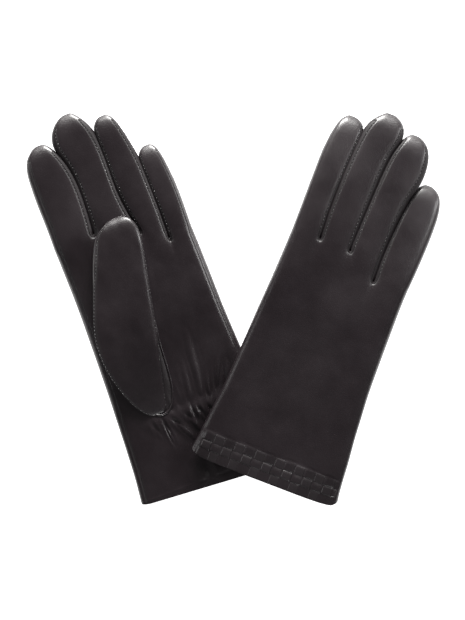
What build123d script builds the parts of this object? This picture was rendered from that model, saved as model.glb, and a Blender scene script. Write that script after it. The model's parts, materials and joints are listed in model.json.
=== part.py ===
"""A pair of lined leather gloves laid flat: the left one palm up, the right one back up on top.

Each glove is built in its own frame, x across the hand (the index finger on the -x side),
y from the hem to the fingertips and z up, and is then turned and moved to where it lies.
Lengths are in millimetres.
"""

import os

from build123d import *

os.makedirs("parts", exist_ok=True)

# ---------------------------------------------------------------- driving dimensions

LEATHER = 0.9              # thickness of the nappa leather
LINING = 0.7               # thickness of the knitted lining
LINING_GAP = 0.1           # air between the leather and its lining
CLEARANCE = 0.3            # between pieces that move apart

FACING_WIDTH = 12.0        # leather turned in at the hem
ELASTIC_WIDTH = 6.0        # wrist elastic, sewn in on the palm side
ELASTIC_LENGTH = 60.0
ELASTIC_THICKNESS = 0.5
ELASTIC_Y = 50.0           # the gathered line across the wrist

FOURCHETTE_WIDTH = 4.8     # side strip of a finger

BAND_ROWS = 3              # woven band on the back of the cuff
BAND_ROW_PITCH = 5.4
BAND_CELLS = 13
BAND_CELL_PITCH = 6.8
BAND_STRIP = 0.5           # thickness of one woven strip
BAND_LOW_Y = -2.6          # lower edge of the band, just inside the hem

BLOCK_INNER = 3.0          # the blocks that cut out the fourchettes: from here off the finger's
BLOCK_REACH = 24.0         # middle line, and this much further out
PAST_EDGE = 10.0           # cuts run this far past the edge of the hand
CUT_THROUGH = 40.0         # half height of cuts that go right through

THUMB_HOLE = (18.0, 40.0)  # oval hole in the palm for the thumb
THUMB_HOLE_CENTRE = (-20.0, 86.0)

# The pair as it lies: hem centre and turn of each glove.
LEFT_HEM = (-10.8, -110.4)
LEFT_TURN = 20.4
RIGHT_HEM = (21.2, -106.1)
RIGHT_TURN = -20.9

# Cross-sections of a tube, from its open end: (y, left, right, low, high).
LEFT_HAND = [
    (-3.0, -51.0, 50.0, 1.4, 9.6),
    (16.0, -49.0, 49.0, 1.4, 9.6),
    (50.0, -47.0, 47.0, 0.8, 9.4),
    (85.0, -45.5, 46.0, 0.0, 9.8),
    (115.0, -45.0, 45.0, 0.0, 11.8),
    (188.0, -45.5, 44.0, 0.0, 12.0),
]
RIGHT_HAND = [
    (-3.0, -52.0, 50.0, 10.0, 18.2),
    (16.0, -50.0, 48.5, 10.0, 18.2),
    (50.0, -46.5, 45.0, 10.0, 18.2),
    (85.0, -44.5, 43.0, 10.0, 20.0),
    (115.0, -43.0, 43.0, 10.0, 21.8),
    (160.0, -41.0, 43.0, 10.0, 21.8),
]
# The thumb's outline seen from above, from its root to its tip: (y, left, right, share of height).
THUMB = [
    (56.0, -25.0, -13.0, 0.45),
    (64.0, -30.0, -11.0, 0.70),
    (78.0, -35.5, -8.5, 0.90),
    (96.0, -38.5, -4.5, 1.00),
    (120.0, -37.0, 0.5, 1.00),
    (150.0, -27.0, 6.0, 1.00),
    (171.0, -20.5, 9.0, 0.95),
    (180.0, -14.5, 6.0, 0.75),
    (185.0, -8.0, 2.0, 0.45),
]
THUMB_HEIGHT = 8.4
THUMB_SEAM = 1.8           # the thumb's seam above the side it lies on
THUMB_LINING_START = 60.0
GUSSET = [(-9, 60), (-4, 63), (-1.5, 82), (0.5, 108), (-6, 80)]
# Height of the palm under the left thumb's root and under its tip.
LEFT_THUMB_BASE = [(56.0, 9.8), (85.0, 10.2), (116.0, 12.2), (185.0, 12.4)]
RIGHT_THUMB_BASE = [(56.0, 0.0), (185.0, 0.0)]

# Fingers: (name, root y, root centre, root width, tip y, tip centre, tip width, fourchette sides).
LEFT_FINGERS = [
    ("index", 183.0, -31.6, 26.6, 246.0, -33.0, 20.6, (1,)),
    ("middle", 188.0, -4.4, 27.0, 259.0, -8.8, 25.4, (-1, 1)),
    ("ring", 176.0, 19.0, 16.2, 250.0, 16.0, 20.2, (-1, 1)),
    ("little", 165.0, 36.0, 16.4, 222.0, 35.8, 16.0, (-1,)),
]
RIGHT_FINGERS = [
    ("index", 160.0, -31.8, 18.8, 239.0, -30.6, 18.6, (1,)),
    ("middle", 160.0, -11.8, 20.2, 249.0, -8.2, 23.4, (-1, 1)),
    ("ring", 160.0, 9.2, 20.4, 242.0, 15.2, 20.2, (-1, 1)),
    ("little", 146.0, 31.6, 22.0, 214.0, 34.4, 15.0, (-1,)),
]
FINGERTIP_HEIGHT = 10.0    # height of a finger where its tip begins to round off
TIP_ROUNDS = [(14.0, 1.0), (5.0, 0.80), (1.5, 0.55), (0.0, 0.36)]  # (back from the tip, share)

LEFT_SPLIT_Z = 5.4         # level of the side seams of each hand
RIGHT_SPLIT_Z = 14.2


# ---------------------------------------------------------------- shared shapes

def section_plane(y):
    """Plane across the glove at y, its own axes along x and z."""
    return Plane.XZ.offset(-y)


def level(heights, y):
    """Height at y on a broken line of (y, z) points."""
    for (y0, z0), (y1, z1) in zip(heights, heights[1:]):
        if y <= y1:
            return z0 + (z1 - z0) * (y - y0) / (y1 - y0)
    return heights[-1][1]


def flat_tube(stations, inset, wall, closed_tip=False):
    """Hollow flattened tube through the stations, its outside set in by inset."""
    with BuildPart() as tube:
        for cut, mode in ((inset, Mode.ADD), (inset + wall, Mode.SUBTRACT)):
            last = len(stations) - 1
            for number, (y, left, right, low, high) in enumerate(stations):
                back_off = cut if closed_tip and number == last else 0.0
                with BuildSketch(section_plane(y - back_off)):
                    with Locations(((left + right) / 2, (low + high) / 2)):
                        SlotOverall(right - left - 2 * cut, high - low - 2 * cut)
            loft(ruled=True, mode=mode)
    return tube.part


def between(stations, y0, y1):
    """The stations from y0 to y1, with new ones worked out at both ends."""
    def at(y):
        for low_row, high_row in zip(stations, stations[1:]):
            if low_row[0] <= y <= high_row[0]:
                share = (y - low_row[0]) / (high_row[0] - low_row[0])
                return tuple(p + (q - p) * share for p, q in zip(low_row, high_row))
        raise ValueError("y is off the tube")
    inner = [row for row in stations if y0 + 0.5 < row[0] < y1 - 0.5]
    return [at(y0)] + inner + [at(y1)]


def half(tube, plane, keep):
    """One side of a tube cut at a plane."""
    with BuildPart() as piece:
        add(tube)
        split(bisect_by=plane, keep=keep)
    return piece.part


def save(part, side, name, turn, hem):
    """Turn and move a finished piece to where it lies, label it and write its file."""
    placed = Location((hem[0], hem[1], 0), (0, 0, turn)) * part
    placed.label = f"{side}_{name}"
    export_step(placed, f"parts/{placed.label}.step")
    return placed


# ---------------------------------------------------------------- the hand

def finger_bays(fingers, stations):
    """Space beyond the root of each finger that starts lower than the hand's end."""
    hand_end = stations[-1][0]
    with BuildPart() as bays:
        for name, root_y, centre, width, tip_y, tip_centre, tip_width, sides in fingers:
            if root_y >= hand_end:
                continue
            # The finger leans and widens on its way to the hand's end, and folds up past there.
            along = (hand_end - root_y) / (tip_y - root_y)
            end_centre = centre + (tip_centre - centre) * along
            end_width = width + max(0.0, tip_width - width) * along * 1.4
            left = min(centre - width / 2, end_centre - end_width / 2) - CLEARANCE
            right = max(centre + width / 2, end_centre + end_width / 2) + CLEARANCE
            left -= PAST_EDGE if name == "index" else 0
            right += PAST_EDGE if name == "little" else 0
            with Locations(((left + right) / 2, root_y, 0)):
                Box(right - left, hand_end - root_y + 10, 60,
                    align=(Align.CENTER, Align.MIN, Align.CENTER))
    return bays.part


def thumb_hole(low, high):
    """Upright oval prism from low to high, where the thumb joins the palm."""
    with BuildPart() as prism:
        with BuildSketch(Plane.XY.offset(low)):
            with Locations(THUMB_HOLE_CENTRE):
                Ellipse(THUMB_HOLE[0] / 2, THUMB_HOLE[1] / 2)
        extrude(amount=high - low)
    return prism.part


def gusset_wedge():
    """Upright prism of the small wedge let into the palm beside the thumb's root."""
    with BuildPart() as prism:
        with BuildSketch(Plane.XY.offset(-CUT_THROUGH)):
            with BuildLine():
                Polyline(*GUSSET, close=True)
            make_face()
        extrude(amount=2 * CUT_THROUGH)
    return prism.part


def make_hand(side, stations, fingers, split_z, palm_up, place):
    """Panels, lining, facing, elastic and gusset of one hand, all open at both ends."""
    top = Plane.XY.offset(split_z)
    palm_keep = Keep.TOP if palm_up else Keep.BOTTOM
    back_keep = Keep.BOTTOM if palm_up else Keep.TOP
    hem_y, root_y = stations[0][0], stations[-1][0]
    bays = finger_bays(fingers, stations) if any(row[1] < root_y for row in fingers) else None
    hole = thumb_hole(-CUT_THROUGH, CUT_THROUGH)
    wedge = gusset_wedge()
    leather = flat_tube(stations, 0, LEATHER)
    inner = LEATHER + LINING_GAP

    with BuildPart() as back_panel:
        add(half(leather, top, back_keep))
        if bays:
            add(bays, mode=Mode.SUBTRACT)
    save(back_panel.part, side, "back_panel", *place)

    with BuildPart() as palm_panel:
        add(half(leather, top, palm_keep))
        if bays:
            add(bays, mode=Mode.SUBTRACT)
        add(hole, mode=Mode.SUBTRACT)
        add(wedge, mode=Mode.SUBTRACT)
    save(palm_panel.part, side, "palm_panel", *place)

    with BuildPart() as thumb_gusset:
        add(half(leather, top, palm_keep))
        add(wedge, mode=Mode.INTERSECT)
    save(thumb_gusset.part, side, "thumb_gusset", *place)

    facing_end = hem_y + FACING_WIDTH
    with BuildPart() as cuff_facing:
        add(flat_tube(between(stations, hem_y + 0.5, facing_end), inner, LINING))
    save(cuff_facing.part, side, "cuff_facing", *place)

    # The elastic lies between the palm leather and the lining, which is let in for it.
    wrist = between(stations, ELASTIC_Y - ELASTIC_WIDTH / 2, ELASTIC_Y + ELASTIC_WIDTH / 2)
    surface = max(row[4] for row in wrist) if palm_up else min(row[3] for row in wrist)
    into = -1 if palm_up else 1
    elastic_z = surface + into * (inner + ELASTIC_THICKNESS / 2 + 0.1)
    with BuildPart() as wrist_elastic:
        with Locations((0, ELASTIC_Y, elastic_z)):
            Box(ELASTIC_LENGTH, ELASTIC_WIDTH, ELASTIC_THICKNESS)
    save(wrist_elastic.part, side, "wrist_elastic", *place)

    with BuildPart() as hand_lining:
        add(flat_tube(between(stations, facing_end + 0.3, root_y), inner, LINING))
        if bays:
            add(bays, mode=Mode.SUBTRACT)
        add(hole, mode=Mode.SUBTRACT)
        with Locations((0, ELASTIC_Y, elastic_z)):
            Box(ELASTIC_LENGTH + 1, ELASTIC_WIDTH + 1, ELASTIC_THICKNESS + 0.8,
                mode=Mode.SUBTRACT)
    save(hand_lining.part, side, "hand_lining", *place)


# ---------------------------------------------------------------- the woven band

def make_band(side, stations, palm_up, place):
    """Long strips with cross strips over them, flat on the back of the cuff."""
    outward = -1 if palm_up else 1
    surface = stations[0][3] if palm_up else stations[0][4]
    long_z = surface + outward * (BAND_STRIP / 2 + 0.05)
    cross_z = long_z + outward * (BAND_STRIP + 0.05)
    band_width = BAND_CELLS * BAND_CELL_PITCH
    band_height = BAND_ROWS * BAND_ROW_PITCH
    middle = (0, BAND_LOW_Y + band_height / 2)

    with BuildPart() as long_strips:
        with Locations((middle[0], middle[1], long_z)):
            with GridLocations(0, BAND_ROW_PITCH, 1, BAND_ROWS):
                Box(band_width, BAND_ROW_PITCH - 0.4, BAND_STRIP)
    save(long_strips.part, side, "band_long_strips", *place)

    with BuildPart() as cross_strips:
        with Locations((middle[0], middle[1], cross_z)):
            with GridLocations(BAND_CELL_PITCH, 0, BAND_CELLS, 1):
                Box(BAND_CELL_PITCH - 0.6, band_height, BAND_STRIP)
    save(cross_strips.part, side, "band_cross_strips", *place)


# ---------------------------------------------------------------- the fingers

def finger_stations(row, hand_low, hand_high):
    """Sections of one finger, sloping from the hand's end down to the surface it lies on."""
    name, root_y, root_x, root_width, tip_y, tip_x, tip_width, sides = row
    start = root_y + CLEARANCE
    rows = [(start, root_x - root_width / 2, root_x + root_width / 2, hand_low, hand_high)]
    for back_off, share in TIP_ROUNDS:
        y = tip_y - back_off
        along = (y - start) / (tip_y - start)
        x = root_x + (tip_x - root_x) * along
        reach = tip_width / 2 * share
        low = hand_low * (1 - along)
        middle = low + FINGERTIP_HEIGHT / 2
        rise = FINGERTIP_HEIGHT / 2 * share
        rows.append((y, x - reach, x + reach, middle - rise, middle + rise))
    return rows


def side_blocks(row, stations, plane):
    """Blocks that hold the walls of a finger's fourchettes, on the sides that have one."""
    root_x, sides = row[2], row[7]
    start, end = stations[0][0], stations[-2][0]
    with BuildPart() as blocks:
        for facing in sides:
            with BuildSketch(plane):
                with Locations((facing * (BLOCK_INNER + BLOCK_REACH / 2), (end - start) / 2)):
                    Rectangle(BLOCK_REACH, end - start + 2)
        extrude(amount=FOURCHETTE_WIDTH / 2, both=True)
    return blocks.part


def make_finger(side, row, hand_low, hand_high, palm_up, place):
    """Back, front, fourchettes and lining of one finger, open at its root."""
    name, root_x = row[0], row[2]
    stations = finger_stations(row, hand_low, hand_high)
    start_z = (stations[0][3] + stations[0][4]) / 2
    end_z = (stations[-1][3] + stations[-1][4]) / 2
    run = stations[-1][0] - stations[0][0]
    middle = Plane(origin=(root_x, stations[0][0], start_z), x_dir=(1, 0, 0),
                   z_dir=(0, start_z - end_z, run))
    tube = flat_tube(stations, 0, LEATHER, closed_tip=True)
    blocks = side_blocks(row, stations, middle)
    upper, lower = half(tube, middle, Keep.TOP), half(tube, middle, Keep.BOTTOM)
    front, back = (upper, lower) if palm_up else (lower, upper)

    with BuildPart() as finger_back:
        add(back)
        add(blocks, mode=Mode.SUBTRACT)
    save(finger_back.part, side, f"{name}_back", *place)

    with BuildPart() as finger_front:
        add(front)
        add(blocks, mode=Mode.SUBTRACT)
    save(finger_front.part, side, f"{name}_front", *place)

    with BuildPart() as fourchettes:
        add(tube)
        add(blocks, mode=Mode.INTERSECT)
    save(fourchettes.part, side, f"{name}_fourchettes", *place)

    with BuildPart() as finger_lining:
        add(flat_tube(stations, LEATHER + LINING_GAP, LINING, closed_tip=True))
    save(finger_lining.part, side, f"{name}_lining", *place)


# ---------------------------------------------------------------- the thumb

def make_thumb(side, base, palm_up, place):
    """Outer and inner leather and lining of the thumb, a lobe folded flat over the palm."""
    stations = []
    for y, left, right, share in THUMB:
        low = level(base, y)
        stations.append((y, left, right, low, low + THUMB_HEIGHT * share))
    first, last = stations[0], stations[-1]
    start_z, end_z = first[3] + THUMB_SEAM, last[3] + THUMB_SEAM
    run = last[0] - first[0]
    middle = Plane(origin=(0, first[0], start_z), x_dir=(1, 0, 0),
                   z_dir=(0, start_z - end_z, run))
    hole = thumb_hole(-CUT_THROUGH, CUT_THROUGH)
    leather = flat_tube(stations, 0, LEATHER, closed_tip=True)

    with BuildPart() as thumb_outer:
        add(half(leather, middle, Keep.TOP))
        if not palm_up:
            add(hole, mode=Mode.SUBTRACT)
    save(thumb_outer.part, side, "thumb_outer" if palm_up else "thumb_inner", *place)

    with BuildPart() as thumb_inner:
        add(half(leather, middle, Keep.BOTTOM))
        if palm_up:
            add(hole, mode=Mode.SUBTRACT)
    save(thumb_inner.part, side, "thumb_inner" if palm_up else "thumb_outer", *place)

    # The lining is left out over the hole, on the side that lies against the palm.
    reach = between(stations, THUMB_LINING_START, stations[-2][0])
    mouth_top = level(base, THUMB_HOLE_CENTRE[1] + 10) + 3.0 if palm_up else CUT_THROUGH
    with BuildPart() as thumb_lining:
        add(flat_tube(reach, LEATHER + LINING_GAP, LINING))
        add(thumb_hole(0, mouth_top), mode=Mode.SUBTRACT)
    save(thumb_lining.part, side, "thumb_lining", *place)


# ---------------------------------------------------------------- the pair

for side, stations, fingers, split_z, base, palm_up, place in (
    ("left", LEFT_HAND, LEFT_FINGERS, LEFT_SPLIT_Z, LEFT_THUMB_BASE, True, (LEFT_TURN, LEFT_HEM)),
    ("right", RIGHT_HAND, RIGHT_FINGERS, RIGHT_SPLIT_Z, RIGHT_THUMB_BASE, False,
     (RIGHT_TURN, RIGHT_HEM)),
):
    make_hand(side, stations, fingers, split_z, palm_up, place)
    make_band(side, stations, palm_up, place)
    make_thumb(side, base, palm_up, place)
    for row in fingers:
        make_finger(side, row, stations[-1][3], stations[-1][4], palm_up, place)
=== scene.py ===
"""Leather gloves: the looks of a lined pair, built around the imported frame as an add-on.

Every glove is shaped in its own flat frame: a across the hand with the index finger on the
negative side, b from the hem to the fingertips and z up, in millimetres. Glove.place turns and
moves it to where the frame has it, in metres.
"""

import json
import math
import random

import bmesh
import bpy
from bpy.props import FloatProperty, FloatVectorProperty, IntProperty, PointerProperty
from mathutils import Matrix, Vector, noise
from mathutils.bvhtree import BVHTree


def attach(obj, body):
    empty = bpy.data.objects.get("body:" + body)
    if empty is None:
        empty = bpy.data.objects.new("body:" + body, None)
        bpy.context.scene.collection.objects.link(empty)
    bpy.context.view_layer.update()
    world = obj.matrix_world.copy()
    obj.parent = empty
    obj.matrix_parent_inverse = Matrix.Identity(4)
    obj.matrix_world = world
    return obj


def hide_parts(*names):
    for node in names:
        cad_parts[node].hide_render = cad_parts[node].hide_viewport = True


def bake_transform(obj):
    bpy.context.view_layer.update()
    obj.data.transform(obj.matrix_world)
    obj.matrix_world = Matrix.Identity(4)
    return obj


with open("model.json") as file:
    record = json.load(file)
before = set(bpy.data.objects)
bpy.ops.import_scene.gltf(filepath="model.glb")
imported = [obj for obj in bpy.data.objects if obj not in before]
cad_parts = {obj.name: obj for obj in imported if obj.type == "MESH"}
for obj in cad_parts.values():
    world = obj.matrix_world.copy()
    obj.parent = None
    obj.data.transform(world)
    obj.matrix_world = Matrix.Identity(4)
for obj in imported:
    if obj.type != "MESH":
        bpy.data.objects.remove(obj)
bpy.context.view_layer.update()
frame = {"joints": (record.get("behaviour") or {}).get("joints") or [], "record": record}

bl_info = {
    "name": "Leather Gloves",
    "version": (1, 0, 0),
    "blender": (4, 5, 0),
    "location": "View3D > Sidebar > Gloves",
    "description": "A pair of lined leather gloves with a woven band at the cuff",
    "category": "Object",
}

MM = 0.001
FINGERS = ("index", "middle", "ring", "little")
FINGER_COLUMNS = 3                     # faces across one finger
COLUMNS = 4 * FINGER_COLUMNS + 3       # and one web face between neighbours
ROWS = 3                               # faces up the side of the glove

# Face marks of the glove's cage: hand pieces first, then back, front and side of each finger.
HAND_BACK, HAND_PALM, HAND_WEB = 0, 1, 2
FINGER_MARKS = 3

LEATHER, FACING, SILK = 0.8, 0.6, 0.5  # thickness of the leather, the hem's facing and the lining
ELASTIC, STRIP = 0.4, 0.35             # and of the wrist elastic and a woven strip
LINING_GAP, THUMB_GAP = 1.5, 1.3       # from the leather's outer surface in to the lining
FACING_END = 9.5                       # b at which the facing ends and the lining starts
SEAM_DEPTH, SEAM_FADE = 0.30, 0.35     # how far a seam sinks in, and its mask one vertex off
HEM_INSET = 3.0                        # b is 0 this far in from the middle of the hem
TABLE = 0.2                            # level of leather that rests on the table


# ------------------------------------------------------------------------ measures

def curve(points, x):
    """Smooth value at x on a short list of (x, value) points."""
    if x <= points[0][0]:
        return points[0][1]
    for (x0, y0), (x1, y1) in zip(points, points[1:]):
        if x <= x1:
            t = (x - x0) / (x1 - x0)
            return y0 + (y1 - y0) * (t * t * (3 - 2 * t) * 0.5 + t * 0.5)
    return points[-1][1]


def bump(x, centre, width):
    """Bell curve of height 1."""
    return math.exp(-((x - centre) / width) ** 2)


class Glove:
    """Shape of one glove: its edges, heights, fingers and thumb, all in its own frame."""

    def __init__(self, side):
        record = frame["record"]
        mount = next(m for m in record["mounts"] if m["name"] == "hand_opening_" + side)
        fold = next(j for j in frame["joints"] if j["name"] == side + "_index_fold")
        self.side = side
        self.palm_up = side == "left"
        self.across = Vector(fold["axis"]).normalized()
        self.along = Vector((-self.across.y, self.across.x, 0))
        hem = Vector(mount["pos_m"]) / MM
        hem.z = 0
        shift = 0.0 if self.palm_up else 1.0
        self.origin = hem + self.along * HEM_INSET + self.across * shift
        # Side edges as b and a, underside and top as b and level, ends of the finger gaps and tips
        # as a and b, and the b at which the outer sides of the outer fingers start.
        if self.palm_up:
            self.left_edge = [(-3, -50.2), (27, -47.8), (54, -46.7), (82, -45.6), (109, -45.0),
                              (137, -44.5), (178, -45.4)]
            self.right_edge = [(-3, 49.0), (27, 48.0), (54, 47.3), (81, 46.4), (104, 45.2),
                               (132, 44.8), (150, 44.4), (165, 43.9)]
            self.low = [(-3, 1.6), (50, 1.0), (85, TABLE), (200, TABLE)]
            self.high = [(-3, 8.6), (16, 8.8), (50, 8.7), (85, 10.2), (115, 11.4), (170, 11.6)]
            self.crotch = [(-18.0, 179.0), (10.6, 170.5), (27.4, 159.0)]
            self.outer_root = (174.0, 160.0)
            self.tips = {"index": (-31.5, 246.6), "middle": (-7.5, 259.6),
                         "ring": (14.0, 250.6), "little": (34.6, 222.6)}
            # b, left and right edge of each finger, from its root to its tip
            self.finger = {
                "index": [(194, -44.4, -16.9), (211, -44.4, -16.3), (223, -44.2, -17.6),
                          (232, -43.8, -20.2), (239, -42.0, -23.6), (244, -37.8, -26.4)],
                "middle": [(198, -16.1, 5.6), (213, -15.7, 5.7), (227, -17.2, 6.0),
                           (238, -21.4, 5.6), (246, -21.6, 3.6), (253, -18.6, 0.2),
                           (257.5, -14.0, -3.2)],
                "ring": [(184, 8.3, 27.4), (198, 6.4, 27.0), (213, 6.3, 26.8), (228, 6.5, 24.4),
                         (239, 6.0, 22.0), (246, 7.4, 19.8), (249, 9.8, 18.0)],
                "little": [(178, 28.3, 43.5), (190, 27.8, 43.1), (201, 27.4, 42.3),
                           (211, 27.2, 41.2), (217, 27.8, 39.9), (220.8, 30.0, 38.2)],
            }
            self.root_low = TABLE
            self.edge_roll = 3.4           # how far in the roll of the side edges starts
        else:
            self.left_edge = [(-3, -51.8), (20, -49.4), (50, -46.2), (82, -44.7), (105, -43.6),
                              (128, -42.2), (157, -41.2)]
            self.right_edge = [(-3, 49.8), (23, 47.7), (50, 45.2), (77, 43.4), (105, 43.0),
                               (132, 42.8), (150, 43.2)]
            self.low = [(-3, 10.2), (160, 10.2)]
            self.high = [(-3, 17.3), (16, 17.5), (50, 18.0), (85, 19.8), (115, 21.2), (160, 21.4)]
            self.crotch = [(-22.0, 157.0), (-1.2, 156.5), (20.2, 143.0)]
            self.outer_root = (158.0, 146.0)
            self.tips = {"index": (-30.2, 240.2), "middle": (-7.2, 250.4),
                         "ring": (12.8, 243.0), "little": (32.4, 215.4)}
            self.finger = {
                "index": [(176, -40.6, -23.3), (197, -40.0, -22.9), (211, -40.0, -22.1),
                          (222, -39.0, -21.3), (230, -37.6, -20.8), (236, -35.8, -22.0),
                          (239, -33.4, -25.0)],
                "middle": [(175, -22.4, -1.4), (192, -22.5, -0.6), (209, -21.8, -0.1),
                           (225, -20.8, 1.2), (235, -19.6, 4.4), (243, -16.6, 4.0),
                           (248, -11.8, 0.2)],
                "ring": [(163, -0.7, 19.2), (178, -0.5, 19.8), (192, 0.2, 20.8), (204, 0.6, 22.4),
                         (214, 1.2, 26.0), (225, 2.2, 26.0), (233, 4.8, 24.6), (239, 7.2, 21.4),
                         (241.8, 9.6, 17.6)],
                "little": [(163, 19.9, 43.6), (178, 20.5, 43.8), (190, 21.5, 44.0),
                           (199, 22.7, 43.8), (206, 24.2, 42.6), (211, 26.2, 40.6),
                           (213.8, 29.2, 37.6)],
            }
            self.root_low = 10.2
            self.edge_roll = 2.2

    def place(self, a, b, z):
        """Point of the glove's own frame, in the shared frame and in metres."""
        return (self.origin + self.across * a + self.along * b + Vector((0, 0, z))) * MM

    def local(self, point):
        """The glove's own (a, b, z) of a point in the shared frame."""
        away = point / MM - self.origin
        return away.dot(self.across), away.dot(self.along), point.z / MM

    def hem(self, a):
        """How far along the hem stands at a: askew on the left glove, turned up at the right one's
        corners."""
        if self.palm_up:
            return -3.2 * a / 50.0 - 0.4
        return -2.8 + 3.4 * (a / 51.5) ** 10

    def front_b(self, column):
        """b of the finger roots along the knuckle line, at a column of the cage."""
        marks = [(0, self.outer_root[0])]
        for number, (_, b) in enumerate(self.crotch):
            marks += [(4 * number + 3, b), (4 * number + 4, b)]
        marks.append((COLUMNS, self.outer_root[1]))
        for (c0, b0), (c1, b1) in zip(marks, marks[1:]):
            if column <= c1:
                return b0 + (b1 - b0) * (column - c0) / (c1 - c0)
        return b1

    def front_a(self, column):
        """a of the finger roots along the knuckle line, at a column of the cage."""
        gap = 0.55
        finger, step = divmod(column, 4)
        left = self.left_edge[-1][1] if finger == 0 else self.crotch[finger - 1][0] + gap
        right = self.right_edge[-1][1] if finger == 3 else self.crotch[finger][0] - gap
        return left + (right - left) * (0, 0.30, 0.70, 1)[step]


GLOVES = {side: Glove(side) for side in ("left", "right")}


# ------------------------------------------------------------------------ the glove's cage

RING_X = (-1.0, -0.42, 0.42, 1.0)      # columns of a finger across its half width
CORNER_X, CORNER_Z = 0.76, 0.93        # the four corners of its section
SIDE_Z = 0.56                          # the two points up each side
HAND_CORNER_Z, HAND_SIDE_Z = 0.86, 0.40
ROOT_CORNER = 0.85                     # a finger's corners are this much lower at its root
ROOT_EASE = 22.0                       # and its section settles over this length
LIMIT, HAND_LIMIT = 1.06, 1.02         # a cage is this much larger than its subdivided shape
FINGER_HEIGHT = 9.6
TIP_ROUND, TIP_HEIGHT = 13.0, 0.26     # its tip rounds off over this, down to this share of height
TIP_CAP = 0.20                         # half its width at the end, as a share of its last ring
SEAM_SWELL = 0.75                      # the sides between two fingers stand this far out
ROOT_STEPS = (0.16, 0.5)               # rings between its root and its first measured ring


def section(column, row, corner=CORNER_X):
    """Point of a finger's section, across and up, as shares of its half width and height."""
    outer = column in (0, FINGER_COLUMNS)
    if row in (0, ROWS):
        up = CORNER_Z if outer else 1.0
        return (RING_X[column] * (corner if outer else 1.0), up if row == ROWS else -up)
    return RING_X[column], SIDE_Z if row == 2 else -SIDE_Z


def finger_rings(glove, name, inset):
    """Rings of one finger from its root to its tip: left, right, b, low and high."""
    number = FINGERS.index(name)
    root_b = (glove.front_b(4 * number) + glove.front_b(4 * number + 3)) / 2
    root = (root_b, glove.front_a(4 * number), glove.front_a(4 * number + 3))
    rows = glove.finger[name]
    tip_a, tip_b = glove.tips[name]
    steps = [tuple(p + (q - p) * share for p, q in zip(root, rows[0])) for share in ROOT_STEPS]
    steps += rows
    _, last_left, last_right = rows[-1]
    cap = (last_right - last_left) * TIP_CAP
    steps.append((tip_b, tip_a - cap, tip_a + cap))
    low0, high0 = glove.root_low, glove.high[-1][1]
    rings = []
    for b, left, right in steps:
        along = (b - root_b) / (tip_b - root_b)
        # The outer sides of the hand start in line with its edges and widen towards the tips.
        free = 1.35 * min(1.0, along * 2.2) - 0.6
        left -= free if name == "index" else SEAM_SWELL
        right += free if name == "little" else SEAM_SWELL
        droop = along ** 1.5
        low = low0 * (1 - droop) + TABLE * droop
        slim = min(along * 1.4, 1.0) ** 1.4
        height = (high0 - low0) * (1 - slim) + FINGER_HEIGHT * slim
        past = max(0.0, 1 - (tip_b - b) / TIP_ROUND)
        half = height / 2 * max(TIP_HEIGHT, math.sqrt(max(0.0, 1 - past ** 2.2)))
        centre = low + height / 2 - 0.9 * past ** 2
        cut = min(inset, 0.6 * half)
        rings.append((left + cut, right - cut, b - inset * min(1.0, past * 3),
                      centre - half + cut, centre + half - cut))
    return rings


HAND_STEPS = (0.045, 0.10, 0.17, 0.25, 0.33, 0.41, 0.49, 0.56, 0.62, 0.67, 0.72, 0.77, 0.82, 0.87,
              0.915, 0.955, 0.985, 1.0)


def hand_point(glove, column, row, step, inset):
    """Point of the hand's cage at a step from the knuckles (0) to the hem (1)."""
    front = glove.front_b(column)
    b = front * (1 - step)
    left, right = curve(glove.left_edge, b) + inset, curve(glove.right_edge, b) - inset
    low, high = curve(glove.low, b) + inset, curve(glove.high, b) - inset
    front_left, front_right = glove.left_edge[-1][1], glove.right_edge[-1][1]
    share = (glove.front_a(column) - front_left) / (front_right - front_left)
    a = left + (right - left) * share
    middle, half = (low + high) / 2, (high - low) / 2 * HAND_LIMIT
    outer = column in (0, COLUMNS)
    if row in (0, ROWS):
        up = HAND_CORNER_Z if outer else 1.0
        finger_column = column % 4
        if finger_column in (0, 3) and not outer:      # the leather dips between two fingers
            up -= 0.20 * max(0.0, 1 - step / 0.07)
        z = middle + half * (up if row == ROWS else -up)
        a += glove.edge_roll * ((column == 0) - (column == COLUMNS))
    else:
        z = middle + half * (HAND_SIDE_Z if row == 2 else -HAND_SIDE_Z)
    b += glove.hem(a) * max(0.0, step - 0.75) / 0.25   # the hem's shape, over the last quarter
    if outer and step > 0.97 and row in (1, 2):        # its corners are rounded off
        b += 1.2 if glove.palm_up or column == 0 else 2.8
    if inset and step == 1.0:                          # the facing ends just inside the hem
        b += 0.6
    return a, b, z


def numbered_grid(columns):
    """Grid that starts a cage, with the column and row of every vertex kept in its layers."""
    bm = bmesh.new()
    bmesh.ops.create_grid(bm, x_segments=columns, y_segments=ROWS, size=1.0)
    col = bm.verts.layers.int.new("column")
    row = bm.verts.layers.int.new("row")
    for v in bm.verts:
        v[col] = round((v.co.x + 1) / 2 * columns)
        v[row] = round((v.co.y + 1) / 2 * ROWS)
    return bm, col, row


def extruded_ring(bm, ring, settle):
    """Extrudes a ring of edges, settles each new vertex, and gives the new ring and its faces."""
    grown = bmesh.ops.extrude_edge_only(bm, edges=ring)["geom"]
    for v in (g for g in grown if isinstance(g, bmesh.types.BMVert)):
        settle(v)
    faces = [g for g in grown if isinstance(g, bmesh.types.BMFace)]
    return [g for g in grown if isinstance(g, bmesh.types.BMEdge) and g.is_boundary], faces


def finger_marks(number):
    """Marks of a finger's back, front and side faces."""
    first = FINGER_MARKS * (number + 1)
    return first, first + 1, first + 2


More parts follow.
